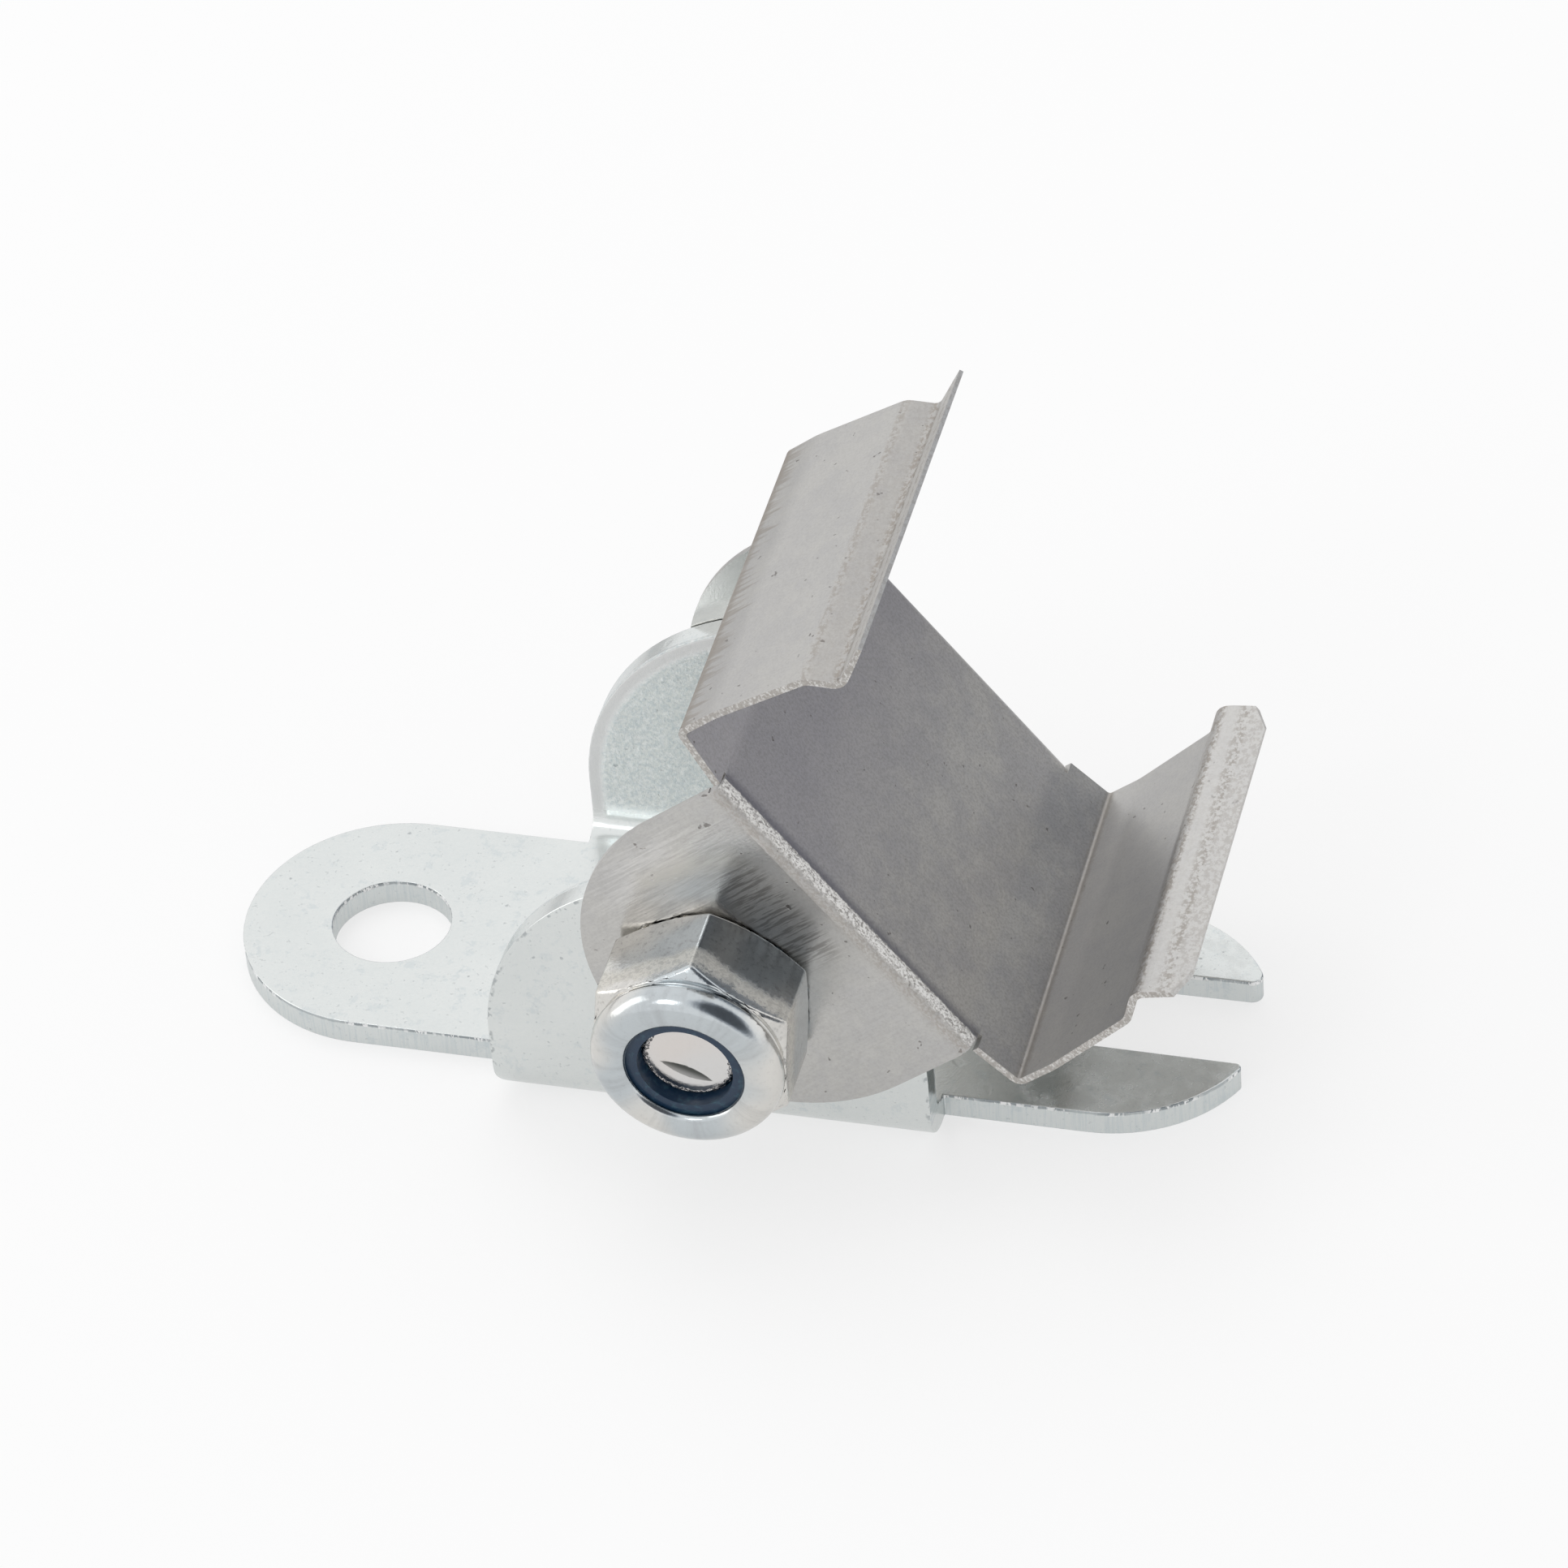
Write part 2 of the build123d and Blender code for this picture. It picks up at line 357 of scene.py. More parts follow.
@dataclass(frozen=True)
class ZincSheet:
    """Bright zinc on pressed sheet: a fine spangle, sheared edges and rolled wing rims painted
    bright as a highlight.
    """

    light: Colour = (0.81, 0.83, 0.815)
    dark: Colour = (0.67, 0.705, 0.70)
    fleck: Colour = (0.54, 0.61, 0.64)
    shadow: Colour = (0.25, 0.28, 0.30)
    burr_and_highlight: Colour = (0.97, 0.975, 0.97)
    sheet: float = 1.5
    half_width: float = 8.0
    fork_start: float = 10.8
    wing_left: float = -12.6
    wing_right: float = 10.8
    wing_round: float = 4.8
    wing_inner: float = 9.35
    rim: float = 0.95
    line: float = 0.3
    roll_depth: float = 0.05
    grain_depth: float = 0.012

    def masks(self, p: Paint) -> SheetMasks:
        """Tells the strip's faces and edges from the wings'.

        Args:
            p: The tree.

        Returns:
            The masks.
        """
        flat = p.ease(abs(p.facing_z), 0.4, 0.75)
        strip = p.ease(p.z, self.sheet + 0.35, self.sheet + 0.05)
        on_strip = p.ease(abs(p.y), self.half_width + 0.4, self.half_width + 0.2)
        wing_edge = (1 - strip) * (1 - flat) * p.ease(abs(p.facing_y), 0.45, 0.3)
        inside = p.ease(abs(p.y), self.wing_inner + 0.3, self.wing_inner + 0.15)
        wing = p.ease(p.z, self.sheet + 0.8, self.sheet + 2.0) * inside
        return SheetMasks(flat, strip * (1 - flat) * on_strip, wing_edge, inside, wing)

    def rims(self, p: Paint, inside: Term) -> tuple[Term, Term]:
        """Finds the wings' rims.

        Args:
            p: The tree.
            inside: 1 on the wings' faces that look into the bracket.

        Returns:
            The broad rolled rim inside and the thin line outside.
        """
        middle = (self.wing_left + self.wing_right) / 2
        radius = (self.wing_right - self.wing_left) / 2
        above = p.math("MAXIMUM", p.z - self.wing_round, 0.0)
        reach = radius - p.hypotenuse(p.x - middle, above)
        wall = p.ease(abs(p.facing_y), 0.5, 0.8) * p.ease(p.z, self.sheet + 0.3, self.sheet + 1.2)
        broad = p.ease(reach, self.rim, self.rim * 0.55) * wall * inside
        thin = p.ease(reach, self.line, self.line * 0.4) * wall * (1 - inside)
        return broad, thin

    def plated(
        self, p: Paint, masks: SheetMasks, cloud: Term, grain: Term, spangle: Term
    ) -> Term:
        """Colours the plating, with its scuffs and spots.

        Args:
            p: The tree.
            masks: The kinds of surface.
            cloud: Broad noise.
            grain: Fine noise.
            spangle: The zinc's crystals.

        Returns:
            The colour.
        """
        # The wings' inner faces lean to the light colour, partly their frosted finish and partly
        # painted light
        share = 0.15 + cloud * 0.6 + grain * 0.4 + masks.wing * 0.3
        colour = p.mixed(share, self.dark, self.light)
        crystals = p.ease(spangle, 0.42, 0.62) * (0.06 + 0.44 * masks.wing)
        colour = p.mixed(crystals, colour, self.fleck)
        scuff = p.ease(p.noise(p.at, 0.7, 5.0, 0.8), 0.54, 0.64)
        colour = p.mixed(scuff * 0.3, colour, self.fleck)
        spot = p.ease(p.noise(p.moved(5.0, 5.0, 5.0), 4.2, 2.0, 0.6), 0.66, 0.70)
        return p.mixed(spot * 0.22, colour, self.shadow)

    def sheared(self, p: Paint, masks: SheetMasks, colour: Term) -> tuple[Term, Term, Term]:
        """Draws die lines, a dark corner line and bright burrs on the cut edges.

        Args:
            p: The tree.
            masks: The kinds of surface.
            colour: The colour so far.

        Returns:
            The new colour, the height of the cuts and the burrs.
        """
        streak = p.noise(p.stretched(p.at, 6.0, 6.0, 0.3), 1.0, 3.0, 0.65)
        tick = p.noise(p.stretched(p.at, 5.0, 0.4, 5.0), 1.0, 3.0, 0.65)
        drawn = masks.edge * (0.1 + p.ease(streak, 0.46, 0.64) * 0.3)
        colour = p.mixed(drawn, colour, self.fleck)
        colour = p.mixed(masks.wing_edge * p.ease(tick, 0.45, 0.6) * 0.75, colour, self.fleck)
        lip = p.z + p.noise(p.stretched(p.at, 1.6, 1.6, 0.0), 1.0, 3.0, 0.7) * 0.2
        run = p.ease(p.noise(p.stretched(p.at, 0.25, 0.25, 0.0), 1.0, 1.0), 0.42, 0.54)
        corner = p.ease(lip, self.sheet - 0.14, self.sheet - 0.04)
        colour = p.mixed(masks.edge * corner * (0.45 + 0.4 * run), colour, self.shadow)
        speck = p.ease(p.noise(p.stretched(p.at, 3.4, 3.4, 1.0), 1.0, 3.0, 0.75), 0.48, 0.53)
        burrs = masks.edge * run * p.ease(lip, self.sheet - 0.20, self.sheet - 0.12) * speck
        cuts = masks.edge * streak * 1.2 + masks.wing_edge * tick * 1.8 + burrs * 1.5
        return p.mixed(burrs, colour, self.burr_and_highlight), cuts, burrs

    def build(self) -> bpy.types.Material:
        """Returns the material."""
        p = Paint("zinc_sheet")
        masks = self.masks(p)
        grain = p.noise(p.at, 7.5, 3.0, 0.6)
        spangle = p.noise(p.moved(7.0, 3.0, 5.0), 4.2, 5.0, 0.75)
        cloud = p.noise(p.at, 0.3, 3.0)
        colour = self.plated(p, masks, cloud, grain, spangle)
        pit = p.ease(p.noise(p.at, 1.9, 2.0), 0.72, 0.78)
        colour = p.mixed(pit * 0.45, colour, self.shadow)
        colour, cuts, burrs = self.sheared(p, masks, colour)
        rim, line = self.rims(p, masks.inside)
        # Painted highlight: the broad rolled rim inside the wings is painted near white, and its
        # metal is lowered below to keep it pale
        colour = p.mixed(rim * 0.9, colour, self.burr_and_highlight)
        ticked = p.ease(p.noise(p.at, 2.2, 2.0), 0.5, 0.62)
        colour = p.mixed(line * ticked * 0.55, colour, self.shadow)
        # Painted highlights: white flecks on the wings' inner faces, over their crinkled texture
        crinkle_glints = p.ease(p.noise(p.moved(1.0, 8.0, 2.0), 3.1, 4.0, 0.8), 0.50, 0.60)
        colour = p.mixed(masks.wing * crinkle_glints * 0.45, colour, self.burr_and_highlight)

        # A thin haze on the fork's top dulls its mirror
        haze = p.ease(p.noise(p.at, 0.55, 4.0, 0.6), 0.42, 0.62) + p.ease(spangle, 0.62, 0.66)
        haze = haze * masks.flat * p.ease(p.x, self.fork_start, self.fork_start + 1.5)
        metallic = 1 - rim * 0.85 - burrs * 0.6 - haze * 0.28
        roughness = 0.15 + 0.06 * cloud + 0.07 * grain + 0.16 * masks.edge + 0.26 * masks.wing
        dent = p.ease(p.noise(p.at, 0.8, 1.0), 0.66, 0.74)
        relief = grain * (0.25 + 0.5 * masks.wing) + spangle * (0.5 + 1.6 * masks.wing)
        relief = relief - dent * 0.5 - pit * 0.8 + cuts
        normal = p.bump(relief, self.grain_depth, p.bump(1 - rim, self.roll_depth))
        return p.finish(colour, roughness, normal, metallic)


class ClipPlaces(NamedTuple):
    """The clip's own coordinates, in millimetres, and the masks of its main faces."""

    local: Term
    along: Term
    rise: Term
    from_middle: Term
    facing_along: Term
    side: Term
    ear: Term
    bed: Term


@dataclass(frozen=True)
class SpringSteel:
    """Bare rolled stainless: a fine grain, dark specks and marks of stretching along its bends,
    with painted shade and light.
    """

    warm: Colour = (0.61, 0.60, 0.575)
    cool: Colour = (0.52, 0.515, 0.515)
    web_tint_and_shade: Colour = (0.44, 0.43, 0.465)
    stretch_and_sheen: Colour = (0.92, 0.91, 0.89)
    inner_line: Colour = (0.12, 0.12, 0.16)
    brown: Colour = (0.38, 0.345, 0.31)
    speck: Colour = (0.16, 0.145, 0.135)
    opening: float = math.radians(37.5)
    shift: float = -0.5
    web: float = 9.5
    fold: float = 13.3
    fold_rise: float = 0.65
    shoulder: float = 17.75
    valley: float = 19.15
    lip_line: float = 1.35
    depth: float = 11.18
    bend_start: float = 10.5
    ear_middle: float = -0.2
    ear_half: float = 9.9
    rub_along: float = -2.2
    rub_rise: float = 6.2
    nut_reflection_along: float = -7.0
    nut_reflection_rise: float = 3.4
    grain_depth: float = 0.012

    def places(self, p: Paint) -> ClipPlaces:
        """Turns the piece's coordinates to lie along the clip's web and square to it.

        Args:
            p: The tree.

        Returns:
            The coordinates and the masks.
        """
        cos, sin = math.cos(self.opening), math.sin(self.opening)
        level = p.z - BOLT_HEIGHT
        along = p.x * sin - level * cos
        rise = p.x * cos + level * sin
        facing_rise = p.facing_x * cos + p.facing_z * sin
        side = p.ease(abs(p.facing_y), 0.9, 0.97)
        return ClipPlaces(
            local=p.joined(along, p.y, rise),
            along=along,
            rise=rise,
            from_middle=along - self.shift,
            facing_along=p.facing_x * sin - p.facing_z * cos,
            side=side,
            ear=side * p.ease(rise, self.web - 0.3, self.web - 0.8),
            bed=p.ease(facing_rise, 0.8, 0.95) * p.ease(rise, self.web + 1.0, self.web + 0.6),
        )

    def rolled(
        self, p: Paint, at: ClipPlaces, grain: Term, cloud: Term, blotch: Term
    ) -> Term:
        """Colours the bare sheet, with painted shade, partly its own tint, darkest and bluest on
        the web towards its left end.

        Args:
            p: The tree.
            at: The clip's coordinates.
            grain: Fine noise.
            cloud: Broad noise.
            blotch: The noise between.

        Returns:
            The colour.
        """
        patch = p.ease(cloud * 0.5 + blotch * 0.5, 0.40, 0.60)
        share = patch * (0.4 + 0.6 * at.bed) + 0.4 * (1 - at.bed)
        colour = p.mixed(share, self.cool, self.warm)
        # Painted shade: the web darkens and blues, most towards its left end, over a little of its
        # own tint
        left = p.ease(at.from_middle, 5.0, -7.0)
        colour = p.mixed(at.bed * (0.1 + 0.7 * left), colour, self.web_tint_and_shade)
        flecks = p.ease(grain, 0.40, 0.66) * (0.12 + 0.16 * at.bed)
        return p.mixed(flecks, colour, self.speck)

    def lips(self, p: Paint, at: ClipPlaces, colour: Term, lip: Term, mottle: Term) -> Term:
        """Mottles the lips and their bends along their length.

        Args:
            p: The tree.
            at: The clip's coordinates.
            colour: The colour so far.
            lip: 1 past the flanges' shoulders.
            mottle: The mottling.

        Returns:
            The new colour.
        """
        stain = p.ease(mottle, 0.46, 0.56)
        past = at.rise - self.valley
        shoulder = self.shoulder - self.valley
        band = p.ease(abs(past - 0.1), 0.45, 0.2) * 1.6
        band = band + p.ease(abs(past - self.lip_line), 0.4, 0.1)
        band = band + p.ease(abs(at.rise - self.shoulder), 0.35, 0.1)
        between = p.ease(past, shoulder - 0.3, shoulder + 0.3) * p.ease(past, 0.1, -0.1)
        colour = p.mixed(lip * between * (0.16 + 0.04 * stain), colour, self.brown)
        colour = p.mixed(lip * p.ease(past, 0.1, 0.4) * 0.35, colour, self.stretch_and_sheen)
        outer_lip = p.ease(past, self.lip_line - 0.1, self.lip_line + 0.2)
        # Stains along the lips, heaviest on their bend lines, where the bands are partly painted
        # reflection of the bends
        browned = lip * stain * (0.10 + 0.45 * band + 0.22 * outer_lip)
        return p.mixed(browned, colour, self.brown)

    def folds(
        self, p: Paint, at: ClipPlaces, colour: Term, mottle: Term
    ) -> tuple[Term, Term, Term]:
        """Darkens both folds with painted shade and combs short strokes out from the far one.

        Args:
            p: The tree.
            at: The clip's coordinates.
            colour: The colour so far.
            mottle: The mottling.

        Returns:
            The new colour, the creases and the strokes.
        """
        over, up = abs(at.from_middle) - self.fold, at.rise - self.web - self.fold_rise
        crease = p.ease(p.hypotenuse(over, up) + mottle * 0.6, 0.85, 0.5)
        # Painted shade: both folds are darkened brown
        colour = p.mixed(crease * (1 - at.side) * 0.55, colour, self.brown)
        out = self.fold + at.from_middle
        outer = p.ease(at.facing_along, -0.35, -0.6) * p.ease(out, 3.0, 2.5)
        comb = p.noise(p.stretched(at.local, 0.15, 2.6, 0.15), 1.0, 4.0, 0.7)
        reach = p.math("MAXIMUM", at.rise - self.web - self.fold_rise, 0.0)
        strokes = outer * p.ease(comb - reach * 0.14, 0.36, 0.50)
        return p.mixed(strokes * 0.65, colour, self.brown), crease, strokes

    def bend(
        self, p: Paint, at: ClipPlaces, colour: Term, peel: Term
    ) -> tuple[Term, Term, Term]:
        """Stretches the front ear's bend rough and bright between two dark lines.

        Args:
            p: The tree.
            at: The clip's coordinates.
            colour: The colour so far.
            peel: How the stretched metal is torn.

        Returns:
            The new colour, the bend and its raised parts.
        """
        ragged = p.noise(p.stretched(at.local, 2.6, 4.0, 4.0), 1.0, 3.0, 0.7)
        ragged = (ragged - 0.5) * 0.4
        run = p.ease(abs(at.along - self.ear_middle), self.ear_half + 0.1, self.ear_half - 0.1)
        out = (ragged - p.y - self.bend_start) * run
        drop = self.web - at.rise + ragged
        bend = run * p.ease(out, -0.02, 0.08) * p.ease(drop, 0.36, 0.16)
        line = run * at.bed * p.ease(out, -0.8, -0.05) * (1 - bend)
        below = run * p.ease(out, 0.2, 0.3) * p.ease(drop, 1.2, 0.5) * (1 - bend)
        colour = p.mixed(line * 0.6, colour, self.inner_line)
        browned = below * (0.15 + 0.5 * p.ease(peel, 0.45, 0.55))
        colour = p.mixed(browned, colour, self.brown)
        raised = bend * p.ease(peel, 0.38, 0.56)
        colour = p.mixed(bend * 0.5, colour, self.brown)
        return p.mixed(raised, colour, self.stretch_and_sheen), bend, raised

    def ears(
        self, p: Paint, at: ClipPlaces, colour: Term, blotch: Term
    ) -> tuple[Term, Term, Term]:
        """Draws strokes on the ears, strongest beside the nut, a painted reflection of the nut on
        the front ear and painted light on the rear ear.

        Args:
            p: The tree.
            at: The clip's coordinates.
            colour: The colour so far.
            blotch: Middling noise.

        Returns:
            The new colour, the strokes and where they are strongest.
        """
        fine = p.noise(p.stretched(at.local, 8.0, 0.3, 0.6), 1.0, 2.0, 0.6)
        near = p.ease(abs(at.along - self.rub_along), 4.2, 2.6)
        near = near * p.ease(abs(at.rise - self.rub_rise), 1.9, 0.9)
        strokes = at.ear * p.ease(fine, 0.46, 0.58) * (0.04 + 0.5 * near)
        colour = p.mixed(strokes, colour, self.speck)
        # Painted reflection: a bright patch on the front ear mirrors the nut's facet
        off, above = at.along - self.nut_reflection_along, at.rise - self.nut_reflection_rise
        away = p.math("SQRT", off * off + above * above * 0.3)
        away = away + (fine - 0.5) * 4.0 + blotch
        nut_reflection = at.ear * p.ease(away, 3.4, 0.6) * p.ease(p.y, 0.0, -1.0)
        colour = p.mixed(nut_reflection * 0.45, colour, self.stretch_and_sheen)
        # Painted light: the rear ear is lightened all over
        colour = p.mixed(at.ear * 0.5 * p.ease(p.y, 0.0, 1.0), colour, self.stretch_and_sheen)
        return colour, fine, near

    def build(self) -> bpy.types.Material:
        """Returns the material."""
        p = Paint("stainless_sheet")
        at = self.places(p)
        grain = p.noise(at.local, 6.5, 4.0, 0.75)
        cloud = p.noise(at.local, 0.2, 3.0)
        blotch = p.noise(at.local, 0.9, 4.0, 0.65)
        mottle = p.noise(p.stretched(at.local, 4.0, 3.0, 4.0), 1.0, 4.0, 0.75)
        peel = p.noise(p.stretched(at.local, 5.0, 9.0, 9.0), 1.0, 4.0, 0.8)
        lip = p.ease(at.rise, self.shoulder - 0.4, self.shoulder) * (1 - at.side)

        colour = self.rolled(p, at, grain, cloud, blotch)
        pit = p.ease(p.noise(at.local, 1.9, 2.0), 0.715, 0.75)
        colour = p.mixed(pit * 0.7, colour, self.speck)
        colour = self.lips(p, at, colour, lip, mottle)
        colour, crease, strokes = self.folds(p, at, colour, mottle)
        colour, bend, raised = self.bend(p, at, colour, peel)
        colour, fine, near = self.ears(p, at, colour, blotch)
        cut = p.ease(abs(abs(p.y) - self.depth), 0.03, 0.015) * at.side
        flecked = p.mixed(p.ease(peel, 0.46, 0.62), self.brown, self.stretch_and_sheen)
        colour = p.mixed(cut * 0.6, colour, flecked)

        broad = p.ease(at.along, -6.5, -4.0) * p.ease(at.along, 6.0, 1.0)
        broad = broad * p.ease(at.rise, 3.4, 5.4)
        roughness = 0.34 - 0.22 * at.ear * (1 - broad) + 0.07 * grain + 0.05 * cloud
        roughness = roughness + 0.3 * bend + 0.08 * lip + 0.15 * crease
        height = grain * (0.5 + 0.6 * at.bed) - pit * 0.9 + bend * peel * 4.0 - strokes * 0.4
        height = height + at.ear * fine * (0.1 + 0.35 * near) - crease * mottle * 0.8
        normal = p.bump(height + lip * mottle * 0.8, self.grain_depth)
        return p.finish(colour, roughness, normal, 1 - 0.75 * raised)


class TurnedPart(Enum):
    """Which turned part a finish is for."""

    NUT = "nut"
    BOLT = "bolt"


@dataclass(frozen=True)
class TurnedZinc:
    """Glossy zinc on a nut or a bolt, with a rough run of burrs and a painted dark reflection at
    the bolt's end.
    """

    part: TurnedPart
    name: str
    warm: Colour = (0.75, 0.735, 0.70)
    blue: Colour = (0.57, 0.61, 0.63)
    speck: Colour = (0.22, 0.21, 0.21)
    bright: Colour = (0.95, 0.90, 0.87)
    dull: Colour = (0.45, 0.43, 0.38)
    scraped: Colour = (0.84, 0.81, 0.73)
    shade: Colour = (0.05, 0.055, 0.05)
    gloss: float = 0.06
    spokes: float = 0.2
    speckle: float = 1.0
    end: float = -16.55
    end_radius: float = 2.25
    hex_start: float = -16.2
    worn_from: float = -15.9
    worn_to: float = -14.2
    worn_radius: float = 4.6
    crescent_half: float = 0.38
    crescent_curve: float = 0.17
    grain_depth: float = 0.012

    def worn(
        self, p: Paint, colour: Term, cloud: Term, grain: Term, reach: Term
    ) -> tuple[Term, Term]:
        """Scrapes the hexagon where a wrench has turned it.

        Args:
            p: The tree.
            colour: The colour so far.
            cloud: Broad noise.
            grain: Fine noise.
            reach: The distance from the bolt's middle.

        Returns:
            The new colour and the wear.
        """
        place = p.y + (cloud - 0.5) * 1.2 + (grain - 0.5) * 1.0
        wear = p.ease(place, self.worn_from, self.worn_from + 0.5)
        wear = wear * p.ease(place, self.worn_to, self.worn_to - 0.7)
        wear = wear * p.ease(reach, self.worn_radius, self.worn_radius + 0.3)
        metal = p.mixed(p.ease(grain, 0.42, 0.60), self.dull, self.scraped)
        return p.mixed(wear * 0.6, colour, metal), wear

    def painted_crescent(self, p: Paint, colour: Term, grain: Term, level: Term) -> Term:
        """Paints a dark lens-shaped reflection of the nylon ring's bore on the bolt's end.

        Args:
            p: The tree.
            colour: The colour so far.
            grain: Fine noise.
            level: The height above the bolt's middle.

        Returns:
            The new colour.
        """
        over, up = p.x + 0.15, level + 0.85
        length, width = over * 0.94 - up * 0.34, over * 0.34 + up * 0.94
        lens = self.crescent_half - length * length * self.crescent_curve - abs(width)
        lens = p.ease(lens + (grain - 0.5) * 0.1, 0.0, 0.08)
        lens = lens * p.ease(p.y, self.end + 0.1, self.end + 0.05)
        return p.mixed(lens * (0.55 + 0.4 * p.ease(width, -0.3, 0.2)), colour, self.shade)

    def build(self) -> bpy.types.Material:
        """Returns the material."""
        p = Paint(self.name)
        level = p.z - BOLT_HEIGHT
        reach = p.hypotenuse(p.x, level)
        cloud = p.noise(p.at, 0.5, 3.0)
        grain = p.noise(p.at, 4.0, 4.0, 0.7)
        tint = p.ease(p.noise(p.moved(2.0, 0.0, 1.0), 0.18, 1.0), 0.4, 0.6)
        rings = p.noise(p.joined(reach * 5.0, p.y * 5.0, 0.0), 1.0, 2.0)
        colour = p.mixed(tint, self.warm, self.blue)
        around = p.joined(p.x / reach * 5.0, level / reach * 5.0, p.y * 0.6)
        brushed = p.noise(around, 1.0, 3.0, 0.65)
        colour = p.mixed(p.ease(brushed, 0.45, 0.75) * self.spokes, colour, self.speck)
        colour, wear = self.worn(p, colour, cloud, grain, reach)
        hexagon = p.ease(p.y, self.hex_start - 0.1, self.hex_start + 0.1)
        flecks = p.ease(grain, 0.52, 0.68) * (0.10 + 0.3 * hexagon) * self.speckle
        colour = p.mixed(flecks, colour, self.speck)
        chips = p.noise(p.at, 3.0, 3.0, 0.7)
        rough = p.ease(p.y, self.end + 0.7, self.end + 0.5)
        torn = reach + (chips - 0.5) * 0.7
        rough = rough * p.ease(torn, self.end_radius - 0.14, self.end_radius - 0.04)
        rough = rough * p.ease(reach, self.end_radius + 0.75, self.end_radius + 0.70)
        flash = rough * p.ease(p.noise(p.at, 5.0, 2.0, 0.6), 0.50, 0.56)
        colour = p.mixed(rough * 0.8, colour, self.speck)
        colour = p.mixed(flash, colour, self.bright)
        # The bolt's end gets a painted dark reflection of the nylon ring's bore
        if self.part is TurnedPart.BOLT:
            colour = self.painted_crescent(p, colour, grain, level)
        roughness = self.gloss + 0.05 * cloud + 0.08 * grain + 0.1 * rough
        roughness = roughness + 0.05 * brushed + 0.25 * wear
        height = grain * (0.4 + 0.8 * hexagon) + cloud * 0.8 + rings * 0.3 + rough * chips * 8.0
        normal = p.bump(height, self.grain_depth)
        return p.finish(colour, roughness, normal, 1 - 0.6 * flash - 0.45 * wear)


@dataclass(frozen=True)
class LockRing:
    """Dark blue nylon, cut to a faint thread by the bolt."""

    blue: Colour = (0.006, 0.028, 0.065)
    worn: Colour = (0.035, 0.10, 0.14)
    lathe_depth: float = 0.03

    def build(self) -> bpy.types.Material:
        """Returns the material."""
        p = Paint("nylon")
        reach = p.hypotenuse(p.x, p.z - BOLT_HEIGHT)
        lathe = p.noise(p.joined(reach * 5.0, p.y * 5.0, 0.0), 1.0, 2.0)
        scuff = p.noise(p.at, 2.4, 4.0, 0.6)
        colour = p.mixed(p.ease(scuff, 0.5, 0.75) * 0.7, self.blue, self.worn)
        normal = p.bump(lathe * 0.6 + scuff * 0.5, self.lathe_depth)
        return p.finish(colour, 0.28 + 0.25 * scuff, normal, 0.0, IOR=1.53)


# ---------------------------------------------------------------- pieces


def merged_copy(node: str) -> bpy.types.Mesh:
    """Copies a CAD node's mesh, with its loose triangles joined up.

    Args:
        node: The CAD node's name.

    Returns:
        The new mesh.
    """
    copy = frame["nodes"][node].data.copy()
    welded = bmesh.new()
    welded.from_mesh(copy)
    bmesh.ops.remove_doubles(welded, verts=welded.verts, dist=WELD * MM)
    flat = math.radians(FLAT_DEGREES)
    bmesh.ops.dissolve_limit(welded, angle_limit=flat, verts=welded.verts, edges=welded.edges)
    welded.to_mesh(copy)
    welded.free()
    return copy


def eased(mesh: bpy.types.Mesh, name: str, width: float, steps: int = 2) -> bpy.types.Object:
    """Rounds a mesh's sharp edges a little.

    Args:
        mesh: The mesh.
        name: The new piece's name.
        width: The rounding, in millimetres.
        steps: How many faces go across it.

    Returns:
        The piece, with nothing left to apply.
    """
    rough = bpy.data.objects.new(name + "_rough", mesh)
    bpy.context.collection.objects.link(rough)
    bevel = rough.modifiers.new("ease", "BEVEL")
    bevel.width = width * MM
    bevel.segments = steps
    bevel.limit_method = "ANGLE"
    bevel.angle_limit = math.radians(SHARP_DEGREES)
    bevel.use_clamp_overlap = False
    graph = bpy.context.evaluated_depsgraph_get()
    plain = bpy.data.meshes.new_from_object(rough.evaluated_get(graph))
    bpy.data.objects.remove(rough)
    # A rounding may overshoot where faces are thin, so it stays in the mesh's own box
    spans = [(min(column), max(column)) for column in zip(*(v.co for v in mesh.vertices))]
    for vertex in plain.vertices:
        vertex.co = [min(max(x, low), high) for x, (low, high) in zip(vertex.co, spans)]
    piece = bpy.data.objects.new(name, plain)
    bpy.context.collection.objects.link(piece)
    return piece


def smooth(piece: bpy.types.Object, degrees: float) -> None:
    """Shades a piece smooth except over sharp edges, with its large flats kept flat.

    Args:
        piece: The piece, whose mesh is replaced.
        degrees: The angle past which an edge stays sharp.
    """
    mesh = piece.data
    mesh.polygons.foreach_set("use_smooth", [True] * len(mesh.polygons))
    mesh.set_sharp_from_angle(angle=math.radians(degrees))
    weighted = piece.modifiers.new("flats", "WEIGHTED_NORMAL")
    weighted.keep_sharp = True
    weighted.weight = FLAT_WEIGHT
    graph = bpy.context.evaluated_depsgraph_get()
    piece.data = bpy.data.meshes.new_from_object(piece.evaluated_get(graph))
    piece.modifiers.remove(weighted)


def dress(piece: bpy.types.Object, material: bpy.types.Material) -> None:
    """Gives a piece one material all over."""
    piece.data.materials.clear()
    piece.data.materials.append(material)


@dataclass
class Bracket:
    """The base: a strip with two wings folded up from its edges."""

    edge: float = 0.08
    sharp_degrees: float = 40.0

    def build(self, finish: ZincSheet) -> bpy.types.Object:
        """Makes the bracket with its edges eased.

        Args:
            finish: What it is plated with.

        Returns:
            The piece.
        """
        piece = eased(merged_copy("base_bracket"), "bracket_sheet", self.edge)
        smooth(piece, self.sharp_degrees)
        dress(piece, finish.build())
        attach(piece, "bracket")
        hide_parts("base_bracket")
        return piece


